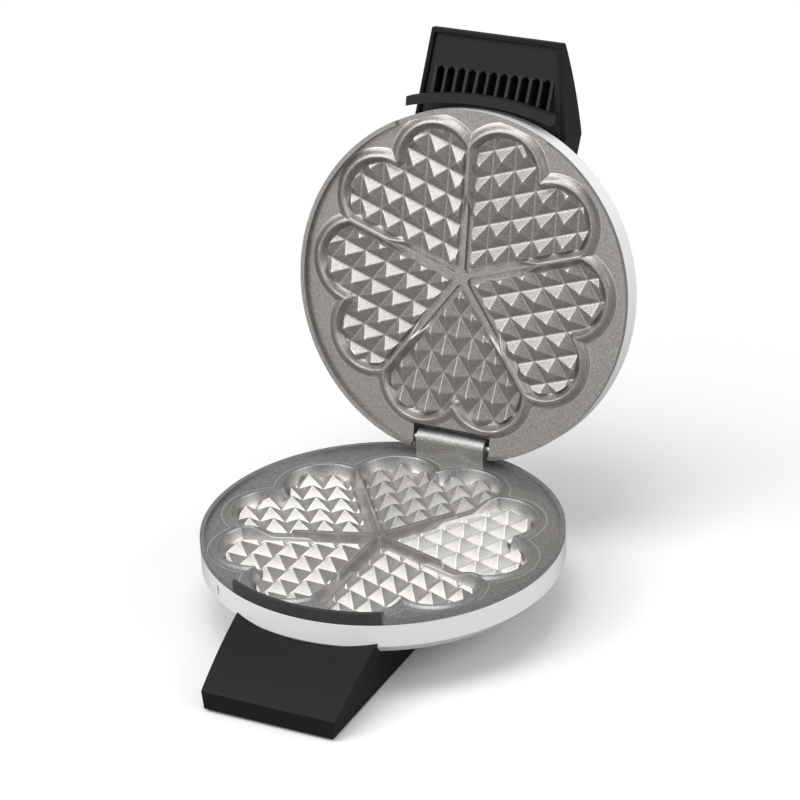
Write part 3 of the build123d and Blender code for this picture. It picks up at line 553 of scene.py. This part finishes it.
def close_down(mesh, bottom, join=False):
    """Carries an open edge by walls down to a bottom height, closes it there and turns all faces out.

    It joins points at one place first if asked, and returns how many edges are still open.
    """
    work = bmesh.new()
    work.from_mesh(mesh)
    if join:
        bmesh.ops.remove_doubles(work, verts=work.verts, dist=1e-3)
        bmesh.ops.dissolve_degenerate(work, edges=work.edges, dist=1e-4)
    edge = [e for e in work.edges if e.is_boundary]
    if edge:
        made = bmesh.ops.extrude_edge_only(work, edges=edge)["geom"]
        for vertex in (v for v in made if isinstance(v, bmesh.types.BMVert)):
            vertex.co.z = bottom
        loop = [e for e in made if isinstance(e, bmesh.types.BMEdge) and e.is_boundary]
        bmesh.ops.edgeloop_fill(work, edges=loop)
    bmesh.ops.recalc_face_normals(work, faces=work.faces)
    open_edges = sum(not e.is_manifold for e in work.edges)
    work.to_mesh(mesh)
    work.free()
    return open_edges


def closed_solid(name, points, faces, side, sharp):
    """A closed solid on its plate, shaded smooth but for edges sharper than an angle in degrees."""
    mesh = bpy.data.meshes.new(name)
    mesh.from_pydata(points.tolist(), [], faces)
    open_edges = close_down(mesh, PLATES[side]["bottom"], join=True)
    mesh.vertices.foreach_set("co", to_frame(points_of(mesh), side).ravel())
    if side == "lid":
        mesh.flip_normals()
    mesh.shade_smooth()
    mesh.set_sharp_from_angle(angle=np.radians(sharp))
    piece = add_object(name, mesh)
    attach(piece, side)
    print(name, "faces", len(mesh.polygons), "open edges", open_edges)
    return piece


def round_the_flower(points):
    """Five turned copies of a heart's points, whose tip is at 0, about the flower's centre of a plate."""
    copies = []
    for heart in range(HEARTS):
        turn = np.pi / 2 + 2 * SECTOR * heart
        x = points[:, 0] * np.cos(turn) - points[:, 1] * np.sin(turn)
        y = points[:, 0] * np.sin(turn) + points[:, 1] * np.cos(turn) + FLOWER_Y
        copies.append(np.stack([x, y, points[:, 2]], 1))
    return np.concatenate(copies)


print("solids can be closed")

# %% Rows of half a cell
RIDGE_ROWS = (1.0, 0.8, 0.6, 0.4, 0.25, 0.1)
WALL_ROWS = (0.0, 0.1, 0.2, 0.32, 0.46, 0.62, 0.8, 1.0, 1.2, 1.4, 1.6, 1.8, 1.95, 2.1, 2.3, 2.6, 2.9, 3.3)
LOBE_ROWS = (0.0, 0.15, 0.3, 0.5, 0.8, 1.1, 1.4, 1.7, 2.0, 2.4, 2.8, 3.2, 3.8)


def strip_faces(rows, columns, first):
    """Quads of a grid of rows and columns whose first point has the number first."""
    r, c = np.meshgrid(np.arange(rows - 1), np.arange(columns - 1), indexing="ij")
    a = (first + r * columns + c).ravel()
    return np.stack([a, a + 1, a + columns + 1, a + columns], 1)


def half_cell(plate):
    """Points and quads of half a heart with its ridge and ring, and the numbers of its floor's edge.

    A ridge row is a share of the way to the ridge's far side, a wall row an inset, and a lobe row a
    distance beyond the rosette's circle.
    """
    outline = half_outline(0.0)
    edge, share = cell_edge(outline)
    columns = len(outline)
    flat = [outline + w * (edge - outline) for w in RIDGE_ROWS]
    flat += [half_outline(inset) for inset in WALL_ROWS]
    inside = [-w * np.linalg.norm(edge - outline, axis=1) for w in RIDGE_ROWS]
    inside += [np.full(columns, inset) for inset in WALL_ROWS]
    last = (len(flat) - 1) * columns + np.arange(columns)
    quads = strip_faces(len(flat), columns, 0)
    flat = np.concatenate(flat)
    inner = np.column_stack([flat, plate_height(plate, np.concatenate(inside), flat)])
    inner[last, 2] = plate["valley"]
    lobes = np.concatenate([lobe_row(ROSETTE + extra, share) for extra in LOBE_ROWS])
    beside = POCKET - np.linalg.norm(lobes - LOBE, axis=1)
    outer = np.column_stack([lobes, plate_height(plate, beside, lobes)])
    quads = np.concatenate([quads, strip_faces(len(LOBE_ROWS), len(share), len(inner))])
    return np.concatenate([inner, outer]), quads, last


print("half a cell has", len(half_cell(PLATES["base"])[1]), "quads")

# %% The skin of one plate
SKIN_RADIUS = 85.9
HINGE_HALF = 21.2
SKIN_SHARP = 60.0


def skin(side):
    """The rosette of one plate: its cells mirrored and turned, cut at the rim and beside the hinge."""
    plate = PLATES[side]
    half, grid, last = half_cell(plate)
    heart = np.concatenate([half, half * (1.0, -1.0, 1.0)])
    floor_loop = np.concatenate([last, last[-2:0:-1] + len(half)])
    quads = np.concatenate([grid, grid[:, ::-1] + len(half)])
    points = round_the_flower(heart)
    beyond = np.maximum(np.hypot(points[:, 0], points[:, 1]) / SKIN_RADIUS, 1.0)
    points[:, :2] /= beyond[:, None]
    at_hinge = np.abs(points[:, 0]) < HINGE_HALF
    points[at_hinge, 1] = np.minimum(points[at_hinge, 1], plate["edge_y"])
    faces = []
    for turn in range(HEARTS):
        faces += (quads + turn * len(heart)).tolist()
        faces.append((floor_loop[::-1] + turn * len(heart)).tolist())
    return closed_solid(side + "_plate_face", points, faces, side, SKIN_SHARP)


print("skins reach", SKIN_RADIUS, "mm from the middle of a plate")

# %% [markdown]
# ## Pyramids
# The pyramids of a heart stand between two families of grooves that run parallel to its two dividers.
# Height over the distance from a groove is a zigzag, and a pyramid is the smaller one of the two
# zigzags. The grid of points runs along the grooves too, so that crests and grooves fall on its lines.
# A heart-shaped prism cuts the field to size.

# %% The field of one heart
STEPS = 26
FIELD_FROM, FIELD_TO = 2.2, 66.5
RIDGE_ROUND = 0.25
GROOVE_SOFT, TOP_EDGE_SOFT = 0.35, 0.25
FIELD_LIFT = 0.15
FIELD_DEPTH = 1.0


def zigzag(distance, plate):
    """Height over one family: 0 in the grooves, full in the middle between them, softly turned at both."""
    to_valley = np.abs((distance - plate["first"] + PITCH / 2) % PITCH - PITCH / 2)
    half_floor = plate["groove"] / 2
    slope = plate["pyramid"] / (PITCH / 2 - half_floor)
    to_crest = PITCH / 2 - to_valley
    climb = slope * (PITCH / 2 - half_floor - np.sqrt(to_crest**2 + RIDGE_ROUND**2) + RIDGE_ROUND)
    return soft_max(climb, 0.0, GROOVE_SOFT)


def pyramid_field(plate, bottom):
    """A block over one heart with all its pyramids on top.

    The points are at equal steps across both families, and each cell is split along the crest or
    groove that runs through it.
    """
    step = PITCH / STEPS
    line = plate["first"] % (PITCH / 2) + step * np.arange(1 + FIELD_TO // step)
    line = line[(line > FIELD_FROM) & (line < FIELD_TO)]
    b1, b2 = np.meshgrid(line, line, indexing="ij")
    x = (b1 + b2) / (2 * np.sin(SECTOR))
    y = (b2 - b1) / (2 * np.cos(SECTOR))
    lift = soft_min(zigzag(b1, plate), zigzag(b2, plate), TOP_EDGE_SOFT)
    points = np.stack([x, y, plate["valley"] + FIELD_LIFT + lift], -1).reshape(-1, 3)
    n = len(line)
    r, c = (v.ravel() for v in np.meshgrid(np.arange(n - 1), np.arange(n - 1), indexing="ij"))
    middle = line[:-1] + step / 2
    side_of = np.sign((middle - plate["first"]) % PITCH - PITCH / 2)
    along = (side_of[r] * side_of[c] > 0)[:, None]
    a = r * n + c
    b, d, e = a + n, a + n + 1, a + 1
    first = np.where(along, np.stack([a, b, d], 1), np.stack([a, b, e], 1))
    second = np.where(along, np.stack([a, d, e], 1), np.stack([b, d, e], 1))
    mesh = bpy.data.meshes.new("field")
    mesh.from_pydata(points.tolist(), [], np.concatenate([first, second]).tolist())
    close_down(mesh, bottom)
    return mesh


print("grid step", PITCH / STEPS, "mm")

# %% Build the skins and the pyramids
PRISM_FOOT, PRISM_TOP = 0.4, 1.0
PRISM_WIDER, PRISM_TAPER = -0.05, 0.75
PYRAMID_SHARP = 50.0


def heart_prism(plate, bottom):
    """A prism over a heart that leans in a little towards its top, as the wall beside it does."""
    loops = []
    top = plate["valley"] + plate["pyramid"] + PRISM_TOP
    for extra, height in ((PRISM_WIDER, bottom + PRISM_FOOT), (PRISM_TAPER, top)):
        half = half_outline(plate["field"] + extra)
        loop = np.concatenate([half, half[-2:0:-1] * (1.0, -1.0)])
        loops.append(np.column_stack([loop, np.full(len(loop), height)]))
    ring = np.arange(len(loops[0]))
    above = ring + len(ring)
    sides = np.stack([ring, np.roll(ring, -1), np.roll(above, -1), above], 1)
    mesh = bpy.data.meshes.new("prism")
    caps = [ring.tolist(), above[::-1].tolist()]
    mesh.from_pydata(np.concatenate(loops).tolist(), [], [*sides.tolist(), *caps])
    close_down(mesh, bottom)
    return mesh


def pyramids(side):
    """The pyramids of one plate: a field and a prism in common for one heart, turned round the flower."""
    plate = PLATES[side]
    bottom = plate["valley"] - FIELD_DEPTH
    block = add_object("block", pyramid_field(plate, bottom))
    knife = add_object("knife", heart_prism(plate, bottom))
    cut = block.modifiers.new("cut", "BOOLEAN")
    cut.operation = "INTERSECT"
    cut.solver = "EXACT"
    cut.object = knife
    cut_block = block.evaluated_get(bpy.context.evaluated_depsgraph_get())
    cut_mesh = bpy.data.meshes.new_from_object(cut_block)
    heart = points_of(cut_mesh)
    polygons = [list(p.vertices) for p in cut_mesh.polygons]
    spare = [block.data, knife.data, cut_mesh]
    for temporary in (block, knife):
        bpy.data.objects.remove(temporary)
    for temporary in spare:
        bpy.data.meshes.remove(temporary)
    faces = [[v + turn * len(heart) for v in face] for turn in range(HEARTS) for face in polygons]
    return closed_solid(side + "_plate_pyramids", round_the_flower(heart), faces, side, PYRAMID_SHARP)


plate_faces = {side: [skin(side), pyramids(side)] for side in PLATES}

# %% [markdown]
# ## Softened copies of the moulded and cast pieces
# The frame's meshes are loose triangles with knife-sharp corners. A real casting or moulding has
# small radii, and the thin highlights on them are what makes it look solid. So each visible piece
# gets a copy that rides on the same body and stands for the node, which stays as it is. The copy's
# triangles are welded and joined in pairs, and a Bevel modifier rounds only the edges that carry a
# weight: the sharp and long ones. It also hardens the normals, so flat faces stay flat.
#
# A few copies are moved a little too. The handle's slots reach further and its guard is flatter in the
# photograph, and the plain rosette of each plate has to sink below the skin that stands for it.

# %% Small shifts of vertices, in millimetres
SLOT_ZONE = (-101.0, -97.4)
FIN_ZONE = (-101.0, -99.0)
SLOT_LONGER = 4.8
BAR_HALF = 38.6
BAR_FLATTER = 3.0
SUNK_RADIUS, SUNK_BACK = 85.3, 76.0
EDGE_GAP = 0.1
NEAR_RIM, NEAR_VALLEY, NEAR_RING = 0.2, 0.3, 0.02
ABOVE_BOTTOM = 0.3


def longer_slots(coords, zone=SLOT_ZONE):
    """Moves the tips of the tray's slots or of the fins between them towards the handle's tip."""
    points = from_frame(coords, "lid")
    tips = (points[:, 1] > zone[0]) & (points[:, 1] < zone[1])
    points[tips, 1] -= SLOT_LONGER
    return to_frame(points, "lid")


def flatter_bar(coords):
    """Takes some of the arch out of the guard bar: most in its middle, nothing at its ends."""
    points = from_frame(longer_slots(coords, FIN_ZONE), "lid")
    bar = points[:, 1] > FIN_ZONE[1]
    points[bar, 1] += BAR_FLATTER * np.clip(1.0 - (points[bar, 0] / BAR_HALF) ** 2, 0.0, None)
    return to_frame(points, "lid")


def pressed(coords, side):
    """Sinks the points of the plain rosette below the skin that stands for it; ring, rim and hinge stay."""
    plate = PLATES[side]
    points = from_frame(coords, side)
    x, y, z = points.T
    below_rim = (z < -NEAR_RIM) & (z > plate["valley"] - NEAR_VALLEY)
    off_ring = np.abs(z - plate["ring"]) > NEAR_RING
    in_ring = (np.hypot(x, y) < SUNK_RADIUS) & (y < min(plate["edge_y"], SUNK_BACK) - EDGE_GAP)
    points[below_rim & off_ring & in_ring, 2] = plate["bottom"] + ABOVE_BOTTOM
    return to_frame(points, side)


SHIFTS = {
    "base_plate": lambda coords: pressed(coords, "base"),
    "lid_plate": lambda coords: pressed(coords, "lid"),
    "handle_tray": longer_slots,
    "handle_guard": flatter_bar,
}
print("shifted pieces", list(SHIFTS))

# %% One function for every softened piece
SHARP = 24.0
ONLY_SHARPER = {"base_stand": 35.0, "base_plate": 35.0, "lid_plate": 35.0}
ONLY_LONGER = {"base_stand": 0.012, "handle_cover": 0.014, "lid_case": 0.0025, "base_case": 0.0025}
WELD = 2e-6
SAME_PLANE = 0.01
ANY_SHAPE = 3.1


def softened(node, width):
    """Copies a node, joins its triangles in pairs, and rounds its sharp and long edges by width metres."""
    source = frame["nodes"][node]
    sharp = np.radians(ONLY_SHARPER.get(node, SHARP))
    longer_than = ONLY_LONGER.get(node, 0.0)
    mesh = source.data.copy()
    mesh.materials.clear()
    if node in SHIFTS:
        mesh.vertices.foreach_set("co", SHIFTS[node](points_of(mesh)).ravel())
    work = bmesh.new()
    work.from_mesh(mesh)
    bmesh.ops.remove_doubles(work, verts=work.verts, dist=WELD)
    bmesh.ops.join_triangles(
        work, faces=work.faces, angle_face_threshold=SAME_PLANE, angle_shape_threshold=ANY_SHAPE
    )
    weight = work.edges.layers.float.new("bevel_weight_edge")
    for edge in work.edges:
        bent = edge.is_manifold and edge.calc_face_angle() > sharp
        edge[weight] = float(bent and edge.calc_length() > longer_than)
    for face in work.faces:
        face.smooth = True
    work.to_mesh(mesh)
    work.free()
    if "custom_normal" in mesh.attributes:
        mesh.attributes.remove(mesh.attributes["custom_normal"])
    mesh.set_sharp_from_angle(angle=sharp)
    piece = add_object(node + "_form", mesh)
    bevel = piece.modifiers.new("rounded", "BEVEL")
    bevel.width = width
    bevel.segments = 2
    bevel.limit_method = "WEIGHT"
    bevel.use_clamp_overlap = longer_than == 0.0
    bevel.miter_outer = "MITER_ARC"
    bevel.harden_normals = True
    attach(piece, source["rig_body"])
    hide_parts(node)
    print(piece.name, "faces", len(mesh.polygons))
    return piece


# %% Soften the visible pieces
ROUNDING = {
    "base_plate": 0.00016,
    "lid_plate": 0.00016,
    "base_case": 0.0004,
    "lid_case": 0.0004,
    "base_stand": 0.0007,
    "handle_cover": 0.0010,
    "handle_tray": 0.0003,
    "handle_guard": 0.0004,
    "browning_knob": 0.0005,
    "rubber_feet": 0.0005,
    "cord_gland": 0.0004,
    "base_screws": 0.00025,
    "lid_screws": 0.00025,
    "handle_screws": 0.00025,
    "power_lens": 0.0006,
    "ready_lens": 0.0006,
}
forms = {node: softened(node, width) for node, width in ROUNDING.items()}


def dress(node, paint):
    """Gives a finish to a softened piece or, where there is none, to the node itself."""
    data = forms[node].data if node in forms else frame["nodes"][node].data
    data.materials.clear()
    data.materials.append(paint.material)
    print(node, "wears", paint.material.name)


# %% [markdown]
# ## Non-stick coating
# The plates are cast and coated. The coating is a satin grey with a fine pepper of lighter and darker
# grains, and the upper plate's copy is painted a shade lighter, as painted light. A painted highlight
# brightens the edges; Pointiness finds those edges, but only on fine meshes, so the skins and pyramids
# have a coat of their own. In the photograph the lower pockets are the brightest of all, and the wall
# in front of the lower plate is nearly black, so height and place mix in a painted light in those
# pockets and a painted shade on that wall.

# %% Coated plates
# The lid's greys are a shade lighter than the base's: painted light on one copy of the same coat.
COATS = {
    "base": ((0.24, 0.235, 0.23), (0.44, 0.43, 0.42)),
    "lid": ((0.27, 0.26, 0.25), (0.48, 0.46, 0.44)),
}
COAT_ROUGHNESS = 0.40
EDGE_HIGHLIGHT = 1.5
# Painted light: the lower plate's pockets are painted lighter below these heights, in metres.
POCKET_PAINTED_LIGHT = (0.82, 0.80, 0.78)
POCKET_FLOOR, POCKET_EDGE = 0.0345, 0.0420
# Painted shade: the wall in front of the lower plate is painted nearly black.
WALL_PAINTED_SHADE = (0.05, 0.046, 0.042)
WALL_INNER, WALL_OUTER = 0.0859, 0.0862
WALL_FRONT, WALL_BACK = -0.083, -0.080
WALL_HALF, WALL_FADE = 0.039, 0.001


def front_wall_shade_mask(paint):
    """1 on the lower plate's front wall, where a shade is painted: beyond a radius, before a line, between
    two sides.
    """
    x, y = (paint.node("ShaderNodeSeparateXYZ", {}, {0: paint.where()}, axis) for axis in "XY")
    behind = y - PLATE_Y * MM
    reach = (x * x + behind * behind).math("SQRT")
    front = reach.between(WALL_INNER, WALL_OUTER) * (1.0 - y.between(WALL_FRONT, WALL_BACK))
    left = (x + WALL_HALF).between(-WALL_FADE, WALL_FADE)
    right = (WALL_HALF - x).between(-WALL_FADE, WALL_FADE)
    return front * left * right


def coating(side, fine):
    """Satin metal coat: two greys mixed by fine grains, with a bump of a few hundredths of a millimetre.

    The fine coat has painted highlights on edges and painted light in the lower pockets.
    """
    dark, light = COATS[side]
    paint = Paint(side + ("_plate_fine_coat" if fine else "_plate_coat"), dark, COAT_ROUGHNESS, 0.8)
    grain = paint.noise(1700.0, 3.0, 0.75)
    cloud = paint.noise(60.0, 3.0)
    speck = grain.between(0.40, 0.62)
    colour = paint.mix(speck, dark, light)
    # Painted highlight: the fine coat's edges are painted brighter.
    if fine:
        colour = paint.mix(paint.edges() * 0.8, colour, tuple(min(1.0, c * EDGE_HIGHLIGHT) for c in light))
    # Painted light: the lower pockets are painted lighter by height.
    if fine and side == "base":
        height = paint.node("ShaderNodeSeparateXYZ", {}, {0: paint.where()}, "Z")
        colour = paint.mix((1.0 - height.between(POCKET_FLOOR, POCKET_EDGE)) * 0.55, colour, POCKET_PAINTED_LIGHT)
    # Painted shade: the wall in front of the lower plate is painted nearly black.
    if side == "base" and not fine:
        colour = paint.mix(front_wall_shade_mask(paint) * 0.85, colour, WALL_PAINTED_SHADE)
    paint.set(Base_Color=colour, Roughness=COAT_ROUGHNESS + (cloud - 0.5) * 0.12 + (speck - 0.5) * 0.08)
    return paint.bump(grain, 0.00004, 0.6)


for side in COATS:
    dress(side + "_plate", coating(side, fine=False))
    fine_coat = coating(side, fine=True)
    for piece in plate_faces[side]:
        piece.data.materials.append(fine_coat.material)
        print(piece.name, "wears", fine_coat.material.name)

# %% [markdown]
# ## White cases
# The cases are moulded in glossy white plastic. A real moulding is never quite flat, so a slow ripple
# of the surface bends its reflections a little.

# %% Glossy white
def gloss_white():
    """White plastic under a thin clear coat, with a ripple of a few hundredths of a millimetre."""
    paint = Paint("case_gloss_white", (0.93, 0.93, 0.925), 0.22, Coat_Weight=0.4, Coat_Roughness=0.05)
    ripple = paint.noise(35.0, 1.0)
    paint.set(Roughness=0.20 + (paint.noise(400.0) - 0.5) * 0.06)
    return paint.bump(ripple, 0.0002, 0.25)


white = gloss_white()
for node in ("base_case", "lid_case"):
    dress(node, white)

# %% [markdown]
# ## Black mouldings
# Stand, handle and guard are black plastic with a fine spark-eroded grain, which scatters light, so
# the faces look charcoal rather than mirror-black. The handle's underside and guard are a shade
# lighter in the photograph, and the knob and the cord's gland are smoother.

# %% Grained black plastic
def black_grain(name, shade, roughness, depth=0.00005):
    """Near-black plastic, pitted by small cells, in slow clouds of two shades."""
    tone = (shade, shade, shade * 1.04)
    paint = Paint(name, tone, roughness, Specular_IOR_Level=0.2)
    pits = paint.cells(1500.0)
    cloud = paint.noise(80.0, 3.0)
    faces = paint.mix(cloud * 0.5, tone, (shade * 1.5, shade * 1.5, shade * 1.55))
    paint.set(Base_Color=faces, Roughness=roughness + (pits - 0.5) * 0.10)
    return paint.bump(pits, depth, 0.5)


moulding = black_grain("black_grained_plastic", 0.006, 0.50)
tray_moulding = black_grain("black_tray_plastic", 0.018, 0.50)
smooth_black = black_grain("black_smooth_plastic", 0.007, 0.35, 0.00002)
for node in ("base_stand", "handle_cover"):
    dress(node, moulding)
for node in ("handle_tray", "handle_guard"):
    dress(node, tray_moulding)
for node in ("browning_knob", "cord_gland"):
    dress(node, smooth_black)

# %% [markdown]
# ## Small parts
# Feet are rubber, screws and the pin are steel, and the parts that are sealed in the cases get the
# finish that they have in such machines: a dull tinted element, bright sheet, unglazed ceramic. Each
# finish is a function of its colours and the size of its grain, because a real surface differs by
# little more than that from the next one.

# %% Rubber, steel, ceramic, tinted plastic
def rubber():
    """Dull dark rubber with a dusty bloom."""
    paint = Paint("foot_rubber", (0.05, 0.05, 0.05), 0.8)
    bloom = paint.noise(500.0, 4.0)
    paint.set(Base_Color=paint.mix(bloom, (0.035, 0.035, 0.035), (0.085, 0.083, 0.08)))
    return paint.bump(bloom, 0.00005, 0.5)


def metal(name, colour, tint, roughness, scale=900.0):
    """Metal in two tones mixed by fine noise, with a faint brushed or rolled unevenness."""
    paint = Paint(name, colour, roughness, 1.0)
    tone = paint.noise(scale, 3.0, 0.6)
    paint.set(Base_Color=paint.mix(tone, colour, tint), Roughness=roughness + (tone - 0.5) * 0.15)
    return paint.bump(tone, 0.00002, 0.4)


def ceramic():
    """Unglazed steatite: off-white, slightly speckled, fully rough."""
    paint = Paint("terminal_ceramic", (0.80, 0.77, 0.70), 0.85)
    speck = paint.noise(1800.0, 3.0)
    paint.set(Base_Color=paint.mix(speck.between(0.4, 0.7), (0.74, 0.70, 0.63), (0.86, 0.83, 0.77)))
    return paint.bump(speck, 0.00004, 0.5)


def tinted_lens(name, colour):
    """Clear tinted plastic: transmission shows the lamp behind it, and a fine frosting softens it."""
    paint = Paint(name, colour, 0.12, IOR=1.49, Transmission_Weight=0.6)
    frost = paint.noise(1200.0)
    paint.set(Roughness=0.10 + frost * 0.10)
    return paint.bump(frost, 0.00002, 0.3)


# %% Dress the small parts
finishes = {
    "rubber_feet": rubber(),
    "base_screws": metal("screw_zinc", (0.55, 0.55, 0.56), (0.68, 0.67, 0.64), 0.34),
    "hinge_pin": metal("pin_ground_steel", (0.50, 0.50, 0.51), (0.60, 0.60, 0.60), 0.28),
    "base_heating_element": metal(
        "element_tinted_steel", (0.30, 0.26, 0.22), (0.45, 0.40, 0.36), 0.45, 300.0
    ),
    "base_heat_reflector": metal(
        "reflector_rolled_sheet", (0.72, 0.72, 0.73), (0.80, 0.80, 0.80), 0.25, 150.0
    ),
    "base_terminal_block": ceramic(),
    "thermal_fuse": metal("fuse_brass_can", (0.66, 0.56, 0.34), (0.72, 0.64, 0.44), 0.35),
    "fuse_clip": metal("clip_spring_steel", (0.52, 0.53, 0.55), (0.62, 0.62, 0.62), 0.35),
    "thermostat": metal("thermostat_plated_steel", (0.56, 0.55, 0.52), (0.66, 0.65, 0.62), 0.32),
    "power_lens": tinted_lens("lens_red", (0.75, 0.05, 0.03)),
    "ready_lens": tinted_lens("lens_green", (0.08, 0.55, 0.14)),
    "signal_lamps": tinted_lens("lamp_glass", (0.85, 0.80, 0.70)),
}
SAME_FINISH = {
    "lid_screws": "base_screws",
    "handle_screws": "base_screws",
    "knob_shaft": "hinge_pin",
    "lid_heating_element": "base_heating_element",
    "lid_heat_reflector": "base_heat_reflector",
    "lid_terminal_block": "base_terminal_block",
}
for node, paint in finishes.items():
    dress(node, paint)
for node, like in SAME_FINISH.items():
    dress(node, finishes[like])

# %% [markdown]
# ## Size
# The box of the finished look is measured against the box of the solids, and the largest growth is
# printed. The finished look has to stay inside the box of the solids.

# %% Compare the two boxes
look_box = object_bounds()
boxes = {"cad": [list(corner) for corner in cad_box], "look": [list(corner) for corner in look_box]}
growth = np.abs(np.array(boxes["look"]) - np.array(boxes["cad"])).max()
print("largest growth in mm", round(growth * 1000, 2))
